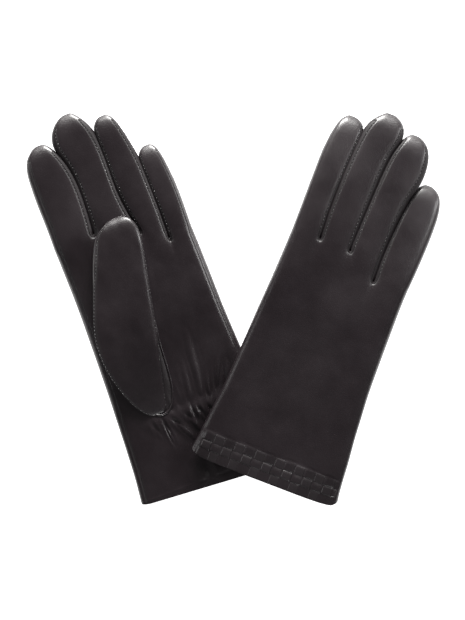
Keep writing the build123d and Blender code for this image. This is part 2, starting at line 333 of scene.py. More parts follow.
def build_cage(glove, inset=0.0):
    """Cage of the hand and its four fingers, as a bmesh with every face marked by its piece."""
    bm, col, row = numbered_grid(COLUMNS)
    for v in bm.verts:
        v.co = Vector(hand_point(glove, v[col], v[row], 0.0, inset))

    def mark(face, top, bottom, side):
        rows = [v[row] for v in face.verts]
        if min(rows) == ROWS:
            face.material_index = top
        elif max(rows) == 0:
            face.material_index = bottom
        else:
            face.material_index = side

    front_faces = list(bm.faces)
    ring = [e for e in bm.edges if e.is_boundary]
    top, bottom = (HAND_PALM, HAND_BACK) if glove.palm_up else (HAND_BACK, HAND_PALM)
    for step in HAND_STEPS:
        def settle(v, step=step):
            v.co = Vector(hand_point(glove, v[col], v[row], step, inset))

        ring, faces = extruded_ring(bm, ring, settle)
        for face in faces:
            mark(face, top, bottom, HAND_BACK)

    for number, name in enumerate(FINGERS):
        first = 4 * number
        last = first + FINGER_COLUMNS
        patch = [face for face in front_faces
                 if face.is_valid and all(first <= v[col] <= last for v in face.verts)]
        back, front, side = finger_marks(number)
        top, bottom = (front, back) if glove.palm_up else (back, front)
        rings = finger_rings(glove, name, inset)
        tip_b = glove.tips[name][1]
        for x0, x1, b, low, high in rings:
            grown = bmesh.ops.extrude_face_region(bm, geom=patch)["geom"]
            bmesh.ops.delete(bm, geom=patch, context="FACES")
            patch = [g for g in grown if isinstance(g, bmesh.types.BMFace)]
            moved = {v for face in patch for v in face.verts}
            ease = min(1.0, (b - rings[0][2]) / ROOT_EASE)
            skew = (glove.front_b(last) - glove.front_b(first)) / 2 * (1 - ease)
            for v in moved:
                across, up = section(v[col] - first, v[row])
                if v[row] in (0, ROWS) and v[col] in (first, last):
                    up *= ROOT_CORNER + (1 - ROOT_CORNER) * ease
                a = (x0 + x1) / 2 + (x1 - x0) / 2 * across * LIMIT
                swell = HAND_LIMIT + (LIMIT - HAND_LIMIT) * ease
                z = (low + high) / 2 + (high - low) / 2 * up * swell
                v.co = Vector((a, b + skew * across, z))
            for face in {f for v in moved for f in v.link_faces} - set(patch):
                columns = {v[col] for v in face.verts}
                rows = [v[row] for v in face.verts]
                outside = (name == "index" and columns == {0}) or (
                    name == "little" and columns == {COLUMNS})
                if tip_b - b < 4:
                    face.material_index = bottom if max(rows) <= 1 else top
                else:
                    mark(face, top, bottom, back if outside else side)
            for face in patch:
                face.material_index = bottom if max(v[row] for v in face.verts) == 1 else top
    for face in front_faces:
        if face.is_valid and all(v[col] % 4 in (0, 3) for v in face.verts):
            face.material_index = HAND_WEB
    bmesh.ops.remove_doubles(bm, verts=bm.verts, dist=1e-5)
    bmesh.ops.recalc_face_normals(bm, faces=bm.faces)
    return bm


# ------------------------------------------------------------------------ shaping the leather

SURFACES = {}                          # finished leather of each glove, to lay pieces on


def linked_object(name, mesh):
    """Object of a mesh, linked to the scene."""
    obj = bpy.data.objects.new(name, mesh)
    bpy.context.scene.collection.objects.link(obj)
    return obj


def subdivided(bm, levels):
    """The same cage after Catmull-Clark subdivision, as a new bmesh."""
    mesh = bpy.data.meshes.new("cage")
    bm.to_mesh(mesh)
    bm.free()
    cage = linked_object("cage", mesh)
    smoother = cage.modifiers.new("Smooth", "SUBSURF")
    smoother.levels = smoother.render_levels = levels
    bpy.context.view_layer.update()
    shaped = cage.evaluated_get(bpy.context.evaluated_depsgraph_get()).to_mesh()
    fine = bmesh.new()
    fine.from_mesh(shaped)
    cage.evaluated_get(bpy.context.evaluated_depsgraph_get()).to_mesh_clear()
    bpy.data.objects.remove(cage)
    return fine


# Folds drawn in by the wrist elastic: from a, b to a, b, then width and height.
FOLDS = (
    (-11.2, 49.0, -2.2, 32.5, 1.0, 2.0), (-17.6, 50.5, -15.8, 34.0, 0.9, 1.3),
    (-25.0, 52.0, -22.8, 40.5, 1.1, 0.9), (-2.0, 49.5, 3.4, 37.0, 0.95, 1.95),
    (3.3, 54.5, 3.0, 45.0, 0.9, 1.6), (7.0, 51.0, 8.4, 41.0, 0.9, 1.5),
    (11.4, 57.0, 16.4, 98.0, 2.1, 0.65), (21.8, 57.0, 29.4, 75.0, 1.5, 0.8),
    (-3.5, 54.0, -1.5, 72.0, 1.6, 0.75), (3.6, 57.0, 7.2, 80.0, 1.8, 0.75),
    (15.4, 52.0, 19.5, 70.0, 1.4, 0.75), (-9.5, 54.0, -9.0, 64.0, 1.5, 0.8),
    (30.0, 52.0, 34.5, 72.0, 2.1, 1.0), (13.5, 49.0, 16.0, 37.0, 1.1, 1.5),
    (20.5, 48.5, 24.0, 36.0, 1.2, 1.2), (28.0, 49.0, 31.0, 40.0, 1.4, 1.0),
)
GATHER_B = 50.5                        # the line that the wrist elastic draws in
LAP_A = 1.8                            # where one edge of the cuff lies over the other
BAND_TOP = 15.4                        # the back of the cuff lies lower than this under its band
RELIEF_END, RELIEF_FADE = 225, 75      # the relief fades out towards the fingertips


def fold_height(a, b, fold):
    """Height of one fold at a, b: a soft ridge between shallow valleys, fading at both ends."""
    a0, b0, a1, b1, width, height = fold
    run = Vector((a1 - a0, b1 - b0))
    away = Vector((a - a0, b - b0))
    share = away.dot(run) / run.length_squared
    if not -0.25 < share < 1.25:
        return 0.0
    across = abs(run.x * away.y - run.y * away.x) / run.length
    if across > 4 * width:
        return 0.0
    middle = min(1.0, abs(2 * share - 1) / 1.5)
    valley = 0.35 * bump(across, width * 2.1, width * 1.1)
    return height * (1 - middle ** 2) ** 2 * (bump(across, 0, width) - valley)


def palm_relief(a, b):
    """Height that folds, gathers and the lap in the cuff add to the palm side."""
    rise = 0.0
    if 24 < b < 106 and a > -34:
        rise += sum(fold_height(a, b, fold) for fold in FOLDS)
        rise -= bump(b, GATHER_B, 5.0) * (0.5 + 0.5 * math.tanh((a + 27) / 4))
    # The lap in the cuff, the hump beside it, the hem's stitched line and the soft unevenness.
    beyond = a - LAP_A
    lap = 0.5 + 0.5 * math.tanh(beyond / 0.55)
    rise += 1.5 * (lap * math.exp(-max(0.0, beyond) / 9) - 0.9 * (1 - lap)
                   * math.exp(min(0.0, beyond) / 3.5)) * bump(b, 7, 9)
    rise += 1.3 * bump(a, -5.0, 3.6) * bump(b, 8, 7)
    rise -= 0.2 * bump(b, 4.6, 0.9)
    rise += 0.40 * noise.noise(Vector((a / 24, b / 34, 3.0)))
    rise += 0.20 * noise.noise(Vector((a / 9, b / 15, 7.0)))
    return rise


def back_relief(a, b):
    """Height that soft hollows, swellings and the bed of the band add to the back."""
    rise = 0.40 * noise.noise(Vector((a / 26, b / 40, 11.0)))
    rise += 0.12 * noise.noise(Vector((a / 9, b / 17, 5.0)))
    rise -= 0.5 * (0.5 + 0.5 * math.tanh((BAND_TOP - b) / 0.6))
    return rise


def relieve(glove, bm):
    """Moves the glove's surface by its relief, on the palm side and on the back."""
    for v in bm.verts:
        a, b, z = v.co
        if b > RELIEF_END:
            continue
        low, high = curve(glove.low, b), curve(glove.high, b)
        up = (z - (low + high) / 2) / ((high - low) / 2)
        share = min(1.0, max(0.0, abs(up) * 1.6 - 0.5))    # nothing round the side edges
        if share == 0.0:
            continue
        on_palm = (up > 0) == glove.palm_up
        rise = palm_relief(a, b) if on_palm else back_relief(a, b)
        fade = min(1.0, (RELIEF_END - b) / RELIEF_FADE)
        v.co.z += math.copysign(rise * share * fade, up)


def mark_seams(bm):
    """Sinks the line where two different leathers meet, and keeps a mask round it."""
    seam = bm.verts.layers.float.new("seam")
    bm.normal_update()
    line = []
    for v in bm.verts:
        groups = {f.material_index % FINGER_MARKS for f in v.link_faces}
        if len(groups) > 1:
            line.append(v)
            v[seam] = 1.0
    near = {e.other_vert(v) for v in line for e in v.link_edges} - set(line)
    for v in near:
        v[seam] = SEAM_FADE
    for v in line:
        v.co -= v.normal * SEAM_DEPTH
    bm.normal_update()


def seam_chains(bm, wanted):
    """Runs of joined seam edges between two marks, as lists of vertices in order."""
    def spot(*verts):
        """Where vertices lie. Blender's own order of them is not the same in every run."""
        return [round(sum(v.co[axis] for v in verts), 3) for axis in (1, 0, 2)]

    edges = [e for e in bm.edges
             if len(e.link_faces) == 2 and wanted(*(f.material_index for f in e.link_faces))]
    edges.sort(key=lambda e: spot(*e.verts))
    by_vert = {}
    for e in edges:
        for v in sorted(e.verts, key=spot):
            by_vert.setdefault(v, []).append(e)
    chains = []
    left = set(edges)
    ends = [v for v, es in by_vert.items() if len(es) == 1]
    for start in ends + list(by_vert):
        options = [e for e in by_vert[start] if e in left]
        if not options:
            continue
        chain, v = [start], start
        while options:
            e = options[0]
            left.discard(e)
            v = e.other_vert(v)
            chain.append(v)
            options = [x for x in by_vert[v] if x in left]
        chains.append(chain)
    return chains


STITCH_PITCH = 2.3
STITCH_SIZE = (1.2, 0.5, 0.4)
STITCH_RISE = 0.30                     # the thread stands up to this far proud of the seam


def stitch_row(points, out):
    """Small thread stitches along a run of (place, normal) pairs, added to the bmesh out."""
    walked, next_at = 0.0, STITCH_PITCH * 0.5
    dice = random.Random(len(points))
    for (p0, n0), (p1, n1) in zip(points, points[1:]):
        run = (p1 - p0).length
        while run > 0 and next_at <= walked + run:
            t = (next_at - walked) / run
            place = p0.lerp(p1, t)
            ahead = (p1 - p0).normalized()
            up = n0.lerp(n1, t).normalized()
            side = up.cross(ahead).normalized()
            up = ahead.cross(side)
            place += up * dice.uniform(0.0, STITCH_RISE)
            turn = Matrix((ahead, side, up)).transposed().to_4x4()
            shape = Matrix.Diagonal((*STITCH_SIZE, 1))
            bmesh.ops.create_icosphere(out, subdivisions=1, radius=0.5,
                                       matrix=Matrix.Translation(place) @ turn @ shape)
            next_at += STITCH_PITCH
        walked += run


def stitches_along(glove, chains, keep, name):
    """Object with the stitches of some seams, where keep is true of their vertices."""
    out = bmesh.new()
    for chain in chains:
        stitch_row([(v.co.copy(), v.normal.copy()) for v in chain if keep(v)], out)
    return dress(finished(settled(glove, out), name), "thread")


def settled(glove, bm):
    """The same bmesh, moved from the glove's own frame to where the glove lies."""
    for v in bm.verts:
        v.co = glove.place(*v.co)
    return bm


def piece_from(glove, bm, wanted, name, thickness):
    """Object made of a copy of the wanted faces, moved to where the glove lies."""
    part = bm.copy()
    bmesh.ops.delete(part, geom=[f for f in part.faces if not wanted(f)], context="FACES")
    for f in part.faces:
        f.material_index = 0
    return finished(settled(glove, part), name, thickness)


def marked(*marks):
    """Test for faces with one of these marks."""
    return lambda face: face.material_index in marks


def finished(bm, name, thickness=0.0):
    """Smooth object of a bmesh that is already in place, with an inward wall if it has one."""
    for f in bm.faces:
        f.smooth = True
    for e in bm.edges:
        if e.is_boundary:
            e.smooth = False
    mesh = bpy.data.meshes.new(name)
    bm.to_mesh(mesh)
    bm.free()
    obj = linked_object(name, mesh)
    if thickness:
        wall = obj.modifiers.new("Wall", "SOLIDIFY")
        wall.thickness = thickness * MM
        wall.offset = -1.0
    return obj


# ------------------------------------------------------------------------ materials

def node_group(name, inputs, outputs):
    """Empty shader node group with these sockets, and its input and output nodes."""
    group = bpy.data.node_groups.new(name, "ShaderNodeTree")
    for label, kind, default in inputs:
        socket = group.interface.new_socket(label, in_out="INPUT", socket_type=kind)
        if default is not None:
            socket.default_value = default
    for label, kind in outputs:
        group.interface.new_socket(label, in_out="OUTPUT", socket_type=kind)
    return group, group.nodes.new("NodeGroupInput"), group.nodes.new("NodeGroupOutput")


def fill(tree, node, values):
    """Gives inputs of a node, by name or number, a plain value or another socket to join."""
    for key, value in values.items():
        if isinstance(value, bpy.types.NodeSocket):
            tree.links.new(value, node.inputs[key])
        else:
            node.inputs[key].default_value = value
    return node


def add_node(tree, kind, inputs=None, **settings):
    """New node with its settings and its inputs."""
    node = tree.nodes.new(kind)
    for key, value in settings.items():
        setattr(node, key, value)
    return fill(tree, node, inputs or {})


def math_value(tree, operation, *values, clamp=False):
    """Result of a math node on plain values and sockets."""
    node = add_node(tree, "ShaderNodeMath", operation=operation, use_clamp=clamp)
    return fill(tree, node, dict(enumerate(values))).outputs[0]


def noise_value(tree, place, scale, detail, roughness=0.5):
    """Value of a noise texture at a place."""
    return add_node(tree, "ShaderNodeTexNoise", {"Vector": place, "Scale": scale, "Detail": detail,
                                                 "Roughness": roughness}).outputs["Fac"]


def mixed_colour(tree, share, first, second):
    """Colour between two others."""
    return add_node(tree, "ShaderNodeMix", {"Factor": share, 6: first, 7: second},
                    data_type="RGBA").outputs[2]


def ramp(tree, source, stops):
    """Colour ramp of grey stops on a value."""
    node = add_node(tree, "ShaderNodeValToRGB", {"Fac": source})
    node.color_ramp.elements[0].position, first = stops[0]
    node.color_ramp.elements[0].color = (first, first, first, 1)
    node.color_ramp.elements[1].position, last = stops[-1]
    node.color_ramp.elements[1].color = (last, last, last, 1)
    for position, value in stops[1:-1]:
        node.color_ramp.elements.new(position).color = (value, value, value, 1)
    return node.outputs["Color"]


def nappa_grain_group():
    """Fine pebble of glove leather with soft stretch creases, as a height."""
    group, start, end = node_group(
        "Nappa Grain", [("Vector", "NodeSocketVector", None), ("Pebble", "NodeSocketFloat", 1500.0),
                        ("Crease", "NodeSocketFloat", 0.5)],
        [("Height", "NodeSocketFloat")])
    place, scale = start.outputs["Vector"], start.outputs["Pebble"]
    pebble = add_node(group, "ShaderNodeTexVoronoi", {"Vector": place, "Scale": scale}, feature="F1")
    fine = noise_value(group, place, math_value(group, "MULTIPLY", scale, 2.3), 4.0, 0.6)
    crease = noise_value(group, place, 160.0, 3.0, 0.55)
    pores = ramp(group, pebble.outputs["Distance"], [(0.0, 0.0), (0.35, 0.75), (0.8, 1.0)])
    grain = math_value(group, "MULTIPLY_ADD", fine, 0.45, pores)
    height = math_value(group, "MULTIPLY_ADD", crease, start.outputs["Crease"], grain)
    fill(group, end, {"Height": height})
    return group


def leather_tone_group():
    """Colour of dyed leather: a cloudy shade with fine specks, darker along the seams."""
    group, start, end = node_group(
        "Leather Tone", [("Vector", "NodeSocketVector", None),
                         ("Dark", "NodeSocketColor", (0, 0, 0, 1)),
                         ("Light", "NodeSocketColor", (1, 1, 1, 1)),
                         ("Seam", "NodeSocketFloat", 0.0)],
        [("Color", "NodeSocketColor"), ("Cloud", "NodeSocketFloat")])
    place = start.outputs["Vector"]
    cloud = noise_value(group, place, 26.0, 5.0, 0.55)
    speck = noise_value(group, place, 420.0, 3.0, 0.6)
    shade = ramp(group, cloud, [(0.30, 0.0), (0.72, 1.0)])
    share = math_value(group, "MULTIPLY_ADD", speck, 0.45, shade)
    share = math_value(group, "MULTIPLY", share, 0.7, clamp=True)
    tone = mixed_colour(group, share, start.outputs["Dark"], start.outputs["Light"])
    worn = math_value(group, "MULTIPLY", start.outputs["Seam"], 0.6, clamp=True)
    fill(group, end, {"Color": mixed_colour(group, worn, tone, (0.002, 0.0017, 0.0018, 1)),
                      "Cloud": cloud})
    return group


GROUPS = {}


def group_node(tree, name, inputs):
    """Node of one of the shared groups, with its inputs."""
    return fill(tree, add_node(tree, "ShaderNodeGroup", node_tree=GROUPS[name]), inputs)


def new_material(name):
    """New material with its nodes, its shader and its object coordinates."""
    material = bpy.data.materials.new(name)
    material.use_nodes = True
    tree = material.node_tree
    place = add_node(tree, "ShaderNodeTexCoord").outputs["Object"]
    return material, tree, tree.nodes["Principled BSDF"], place


def leather(name, dark, light, roughness, coat, pebble=1500.0, shine=0.5):
    """Glove leather in one tone and finish, duller and without its coat along the seams."""
    material, tree, shader, place = new_material(name)
    seam = add_node(tree, "ShaderNodeAttribute", attribute_name="seam").outputs["Fac"]
    grain = group_node(tree, "Nappa Grain", {"Vector": place, "Pebble": pebble})
    tone = group_node(tree, "Leather Tone", {"Vector": place, "Dark": (*dark, 1),
                                             "Light": (*light, 1), "Seam": seam})
    spread = add_node(tree, "ShaderNodeMapRange", {
        "Value": tone.outputs["Cloud"], "From Min": 0.3, "From Max": 0.7,
        "To Min": roughness[0], "To Max": roughness[1]})
    relief = add_node(tree, "ShaderNodeBump", {"Strength": 0.18, "Distance": 0.0004,
                                               "Height": grain.outputs["Height"]})
    fill(tree, shader, {
        "Base Color": tone.outputs["Color"],
        "Roughness": math_value(tree, "MULTIPLY_ADD", seam, 0.38, spread.outputs["Result"]),
        "Normal": relief.outputs["Normal"],
        "Specular IOR Level": shine,
        "Coat Weight": math_value(tree, "MULTIPLY_ADD", seam, -coat, coat, clamp=True),
        "Coat Roughness": 0.20})
    return material


def knit(name, colour):
    """Fine silk knit of the lining."""
    material, tree, shader, place = new_material(name)
    ribs = add_node(tree, "ShaderNodeTexWave", {"Vector": place, "Scale": 300.0,
                                                "Distortion": 1.2})
    dark, light = (*scaled(colour, 0.6), 1), (*scaled(colour, 1.4), 1)
    relief = add_node(tree, "ShaderNodeBump", {"Strength": 0.5, "Distance": 0.0003,
                                               "Height": ribs.outputs["Fac"]})
    fill(tree, shader, {
        "Base Color": mixed_colour(tree, noise_value(tree, place, 500.0, 3.0), dark, light),
        "Normal": relief.outputs["Normal"],
        "Roughness": 0.8,
        "Sheen Weight": 0.3})
    return material


MATERIALS = {}


def scaled(colour, share):
    """Darker or lighter shade of a colour."""
    return tuple(c * share for c in colour)


def make_materials(finish):
    """Every material of the pair, once."""
    GROUPS["Nappa Grain"] = nappa_grain_group()
    GROUPS["Leather Tone"] = leather_tone_group()
    dark, light = tuple(finish.leather_dark), tuple(finish.leather_light)
    rough = (finish.roughness - 0.06, finish.roughness + 0.08)
    MATERIALS["leather"] = leather("Nappa leather", dark, light, rough, finish.coat)
    # Finger sides and thumb gusset: the leather's own tones at 0.7, a painted shade between the
    # fingers and beside the thumb; rougher and nearly without coat
    MATERIALS["side_leather"] = leather("Side leather, painted shade", scaled(dark, 0.7), scaled(light, 0.7),
                                        (0.5, 0.62), 0.04, shine=0.32)
    MATERIALS["band_leather"] = leather("Band leather", scaled(dark, 0.8), scaled(light, 0.9),
                                        (0.36, 0.44), 0.22)
    # Cross strips of the band: the same leather made lighter, a painted highlight on the raised
    # squares of the weave
    MATERIALS["cross_leather_highlit"] = leather("Cross strip leather, painted highlight", (0.0078, 0.0058, 0.0067),
                                         (0.0160, 0.0120, 0.0139), (0.34, 0.42), 0.25)
    MATERIALS["facing_leather"] = leather("Facing leather", dark, light, (0.6, 0.75), 0.0,
                                          shine=0.2)
    MATERIALS["thread"] = leather("Waxed thread", (0.025, 0.022, 0.024), (0.075, 0.07, 0.074),
                                  (0.25, 0.35), 0.4, pebble=4000.0)
    MATERIALS["lining"] = knit("Silk knit", (0.022, 0.020, 0.022))
    MATERIALS["elastic"] = knit("Elastic", (0.03, 0.03, 0.03))


def dress(obj, material, body=None, slot=None, nodes=()):
    """Material, body and replaced nodes of one finished piece; the slot is not used."""
    obj.data.materials.clear()
    obj.data.materials.append(MATERIALS[material])
    if body:
        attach(obj, body)
    slot or (material if material != "thread" else "leather")
    if nodes:
        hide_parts(*nodes)
    return obj


# ------------------------------------------------------------------------ the pieces

STITCH_START = 3.0                     # a finger's stitches start this far past its root
BEND_BEFORE, BEND_PAST = 1.0, 14.0     # its leather bends from before its root to past its hinge


def fold_span(glove, name):
    """Where the leather of a finger starts and stops bending, in the shared frame."""
    joint = next(j for j in frame["joints"] if j["name"] == f"{glove.side}_{name}_fold")
    a, b, z = glove.local(Vector(joint["pos_m"]))
    number = FINGERS.index(name)
    root = min(glove.front_b(4 * number), glove.front_b(4 * number + 3))
    return glove.place(a, root - BEND_BEFORE, z), glove.place(a, b + BEND_PAST, z)


def bend(obj, glove, name):
    """Bakes a piece of one finger into place, after working out the span of its fold."""
    start, end = fold_span(glove, name)
    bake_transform(obj)
    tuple(start)
    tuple(end)


def make_leather(side, levels):
    """Back, palm, fingers and their seams of one glove."""
    glove = GLOVES[side]
    bm = subdivided(build_cage(glove), levels)
    relieve(glove, bm)
    mark_seams(bm)
    SURFACES[side] = BVHTree.FromBMesh(bm)
    hand = f"{side}_hand"
    for mark, word in ((HAND_BACK, "back"), (HAND_PALM, "palm")):
        panel = piece_from(glove, bm, marked(mark), f"{side}_{word}_leather", LEATHER)
        dress(panel, "leather", hand, nodes=[f"{side}_{word}_panel"])
    web = piece_from(glove, bm, marked(HAND_WEB), f"{side}_crotch_webs", LEATHER)
    dress(web, "facing_leather", hand, slot="side_leather")
    for number, name in enumerate(FINGERS):
        marks = finger_marks(number)
        # The finger sides take the darker side leather, a painted shade between the fingers
        for mark, word, node, material in zip(marks, ("back", "front", "sides"),
                                              ("back", "front", "fourchettes"),
                                              ("leather", "leather", "side_leather")):
            piece = piece_from(glove, bm, marked(mark), f"{side}_{name}_{word}_leather", LEATHER)
            dress(piece, material, nodes=[f"{side}_{name}_{node}"])
            bend(piece, glove, name)
        seams = seam_chains(bm, lambda p, q, marks=marks: p in marks and q in marks
                            and (p == marks[2]) != (q == marks[2]))
        start_b = STITCH_START + max(glove.front_b(4 * number), glove.front_b(4 * number + 3))
        bend(stitches_along(glove, seams, lambda v, start_b=start_b: v.co.y > start_b,
                            f"{side}_{name}_stitches"), glove, name)
    bm.free()


def make_lining(side, levels):
    """Lining of the hand and fingers, and the facing turned in at the hem."""
    glove = GLOVES[side]
    bm = subdivided(build_cage(glove, LINING_GAP), levels)
    relieve(glove, bm)
    hand_face = marked(HAND_BACK, HAND_PALM, HAND_WEB)
    facing = piece_from(glove, bm, lambda f: f.calc_center_median().y <= FACING_END,
                        f"{side}_hem_facing", FACING)
    dress(facing, "facing_leather", f"{side}_hand", nodes=[f"{side}_cuff_facing"])
    lining = piece_from(glove, bm, lambda f: f.calc_center_median().y > FACING_END and hand_face(f),
                        f"{side}_hand_silk", SILK)
    dress(lining, "lining", f"{side}_hand", nodes=[f"{side}_hand_lining"])
    for number, name in enumerate(FINGERS):
        silk = piece_from(glove, bm, marked(*finger_marks(number)), f"{side}_{name}_silk", SILK)
        dress(silk, "lining", nodes=[f"{side}_{name}_lining"])
        bend(silk, glove, name)
    bm.free()


# The thumb's outline: b, left, right, how high it stands and how far its foot sinks.
THUMB_OUTLINE = (
    (54.6, -22.0, -15.0, 0.8, 1.2), (58.5, -27.0, -12.6, 1.8, 1.0), (66.0, -32.0, -11.0, 3.2, 0.6),
    (78.0, -36.8, -8.6, 5.0, 0.0), (92.0, -40.0, -5.0, 6.8, 0.0), (104.0, -41.0, -1.6, 7.8, 0.0),
    (118.0, -39.4, 0.8, 8.2, 0.0), (130.0, -35.4, 3.4, 8.3, 0.0), (142.0, -31.0, 5.8, 8.3, 0.0),
    (153.0, -27.4, 8.0, 8.2, 0.0), (163.0, -23.9, 10.0, 8.0, 0.0), (171.5, -20.2, 10.9, 7.4, 0.0),
    (177.5, -16.6, 10.0, 6.6, 0.0), (181.8, -10.6, 7.6, 5.2, 0.0), (184.6, -4.2, 3.2, 2.6, 0.0),
)
# The turned edge of the palm round the thumb's root, from the thumb's left side to its right.
WELT = ((66, -31.0), (61, -26.8), (55.8, -21.6), (53.6, -17.0),
        (54.6, -12.2), (58.6, -8.2), (65.5, -5.2), (75, -3.4), (86, -2.7), (98, -2.2),
        (107, -0.8), (116, 0.8))


# Level of the palm that the left thumb lies on, by b.
THUMB_REST = ((55, 9.0), (85, 10.3), (116, 12.0), (190, 12.3))
RIGHT_THUMB_TOP = 8.4                  # the right one lies under its palm, below this
THUMB_CORNER, THUMB_EDGE = 0.90, 0.99  # corners of its section, and of its turned outer edge
THUMB_SWELL = 1.03                     # its cage is this much wider than its outline
EDGE_END, EDGE_FADE = 165, 30          # the turned edge fades out towards the tip
THUMB_OUTER, THUMB_INNER = 0, 1        # face marks


def thumb_rings(glove, inset):
    """Rings of the thumb from its root to its tip: b, left, right, low and high."""
    rings = []
    for b, left, right, height, sink in THUMB_OUTLINE:
        if glove.palm_up:
            base = curve(THUMB_REST, b)
            low, high = base - sink - 0.3, base + height
        else:
            low = TABLE + (RIGHT_THUMB_TOP - height) * 0.3
            high = low + height
        cut = min(inset, (high - low) * 0.3)
        rings.append((b, left + cut, right - cut, low + cut, high - cut))
    return rings


def turned_edge(b):
    """How far the thumb's outer edge is turned under at b, from 0 to 1."""
    return min(1.0, max(0.0, (EDGE_END - b) / EDGE_FADE))


def build_thumb(glove, inset=0.0):
    """Cage of the thumb, every face marked as its outer or its inner leather."""
    bm, col, row = numbered_grid(FINGER_COLUMNS)
    rings = thumb_rings(glove, inset)

    def settle(v, ring):
        b, left, right, low, high = ring
        corner = THUMB_CORNER
        if v[col] == 0:
            corner += (THUMB_EDGE - THUMB_CORNER) * turned_edge(b)
        across, up = section(v[col], v[row], corner)
        v.co = Vector(((left + right) / 2 + (right - left) / 2 * across * THUMB_SWELL, b,
                       (low + high) / 2 + (high - low) / 2 * up * LIMIT))

    for v in bm.verts:
        settle(v, rings[-1])
    edges = [e for e in bm.edges if e.is_boundary]
    for ring in reversed(rings[:-1]):
        edges, _ = extruded_ring(bm, edges, lambda v, ring=ring: settle(v, ring))
    for f in bm.faces:
        highest = max(v[row] for v in f.verts)
        columns = {v[col] for v in f.verts}
        wall = columns == {0} or (highest < ROWS and columns == {FINGER_COLUMNS})
        f.material_index = THUMB_INNER if highest <= 1 or wall else THUMB_OUTER
    bmesh.ops.holes_fill(bm, edges=edges, sides=0)
    bmesh.ops.recalc_face_normals(bm, faces=bm.faces)
    crease = bm.edges.layers.float.new("crease_edge")
    for e in bm.edges:
        if all(v[col] == 0 and v[row] == ROWS for v in e.verts):
            e[crease] = 0.95 * turned_edge((e.verts[0].co.y + e.verts[1].co.y) / 2)
    return bm


def thumb_span(glove):
    """Where the thumb starts and stops turning, in the shared frame."""
    if glove.palm_up:
        return glove.place(-19, 57, 10), glove.place(-14, 92, 10)
    return glove.place(-20, 62, 4), glove.place(-18, 96, 4)


def make_thumb(side, levels):
    """Thumb of one glove: its two leathers, its stitches and its lining."""
    glove = GLOVES[side]
    bm = subdivided(build_thumb(glove), levels)
    for v in bm.verts:
        a, b, z = v.co
        v.co.z += (0.5 * noise.noise(Vector((a / 14, b / 26, 2.0))) +
                   0.2 * noise.noise(Vector((a / 6, b / 11, 9.0)))) * min(1.0, max(0.0, (b - 60) / 30))
    mark_seams(bm)
    start, end = thumb_span(glove)
    seams = seam_chains(bm, lambda p, q: p != q)
    for mark, word in ((THUMB_OUTER, "outer"), (THUMB_INNER, "inner")):
        piece = piece_from(glove, bm, marked(mark), f"{side}_thumb_{word}_leather", LEATHER)
        dress(piece, "leather", nodes=[f"{side}_thumb_{word}"])
        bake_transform(piece)
        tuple(start)
        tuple(end)
    # The seam under the turned edge shows no stitches.
    stitches = stitches_along(glove, seams, lambda v: v.normal.x > -0.2, f"{side}_thumb_stitches")
    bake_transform(stitches)
    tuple(start)
    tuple(end)
    bm.free()
    silk = subdivided(build_thumb(glove, THUMB_GAP), max(levels - 1, 1))
    lining = piece_from(glove, silk, marked(THUMB_OUTER, THUMB_INNER), f"{side}_thumb_silk", SILK)
    silk.free()
    dress(lining, "lining", nodes=[f"{side}_thumb_lining"])
    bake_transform(lining)
    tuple(start)
    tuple(end)


def palm_side(glove):
    """1 for a palm that lies up, -1 for one that lies down."""
    return 1 if glove.palm_up else -1


def surface_level(glove, a, b, outward):
    """Level of the glove's outer surface at a, b on its top (1) or underside (-1)."""
    tree = SURFACES[glove.side]
    hit = tree.ray_cast(Vector((a, b, 60.0 * outward)), Vector((0, 0, -outward)))[0]
    if hit is None:
        hit = tree.find_nearest(Vector((a, b, curve(glove.low, b) + 4)))[0]
    return hit.z


def ribbon(a_range, b_range, steps, lift, gather=1.0):
    """Grid of (a, b, height by a function of a and b), its rows gathered towards low b."""
    bm = bmesh.new()
    bmesh.ops.create_grid(bm, x_segments=steps[0], y_segments=steps[1], size=0.5)
    for v in bm.verts:
        a = a_range[0] + (a_range[1] - a_range[0]) * (v.co.x + 0.5)
        b = b_range[0] + (b_range[1] - b_range[0]) * max(0.0, v.co.y + 0.5) ** gather
        v.co = Vector((a, b, lift(a, b)))
    return bm


def laid(glove, bm, outward):
    """Moves a grid of (a, b, height over the surface) onto the glove."""
    for v in bm.verts:
        a, b, height = v.co
        v.co = glove.place(a, b, surface_level(glove, a, b, outward) + outward * height)
    if outward < 0:
        bmesh.ops.reverse_faces(bm, faces=bm.faces)
    return bm


CELL, ROW_PITCH, BAND_ROWS = 6.95, 5.95, 3       # one square of the woven band, and its rows
BAND_FOOT = 0.25                                 # above the hem's edge
BAND_LEFT, BAND_RIGHT = 3.4, 3.2                 # in from the side edges
ROW_GAP, CROSS_GAP = 0.06, 0.28                  # half the gap between two strips
WEAVE_LIFT, WEAVE_SWING = 0.36, 0.42             # middle height of a strip and its swing
WEAVE_START = -1.6                               # a of the cross strip that the count starts at
END_RUN, FLAT = 1.6, 0.3                         # strips dip at their ends, and lie flat at edges


def weave(phase):
    """How far over (1) or under (-1) its neighbours a strip runs."""
    return math.tanh(2.2 * math.cos(phase))


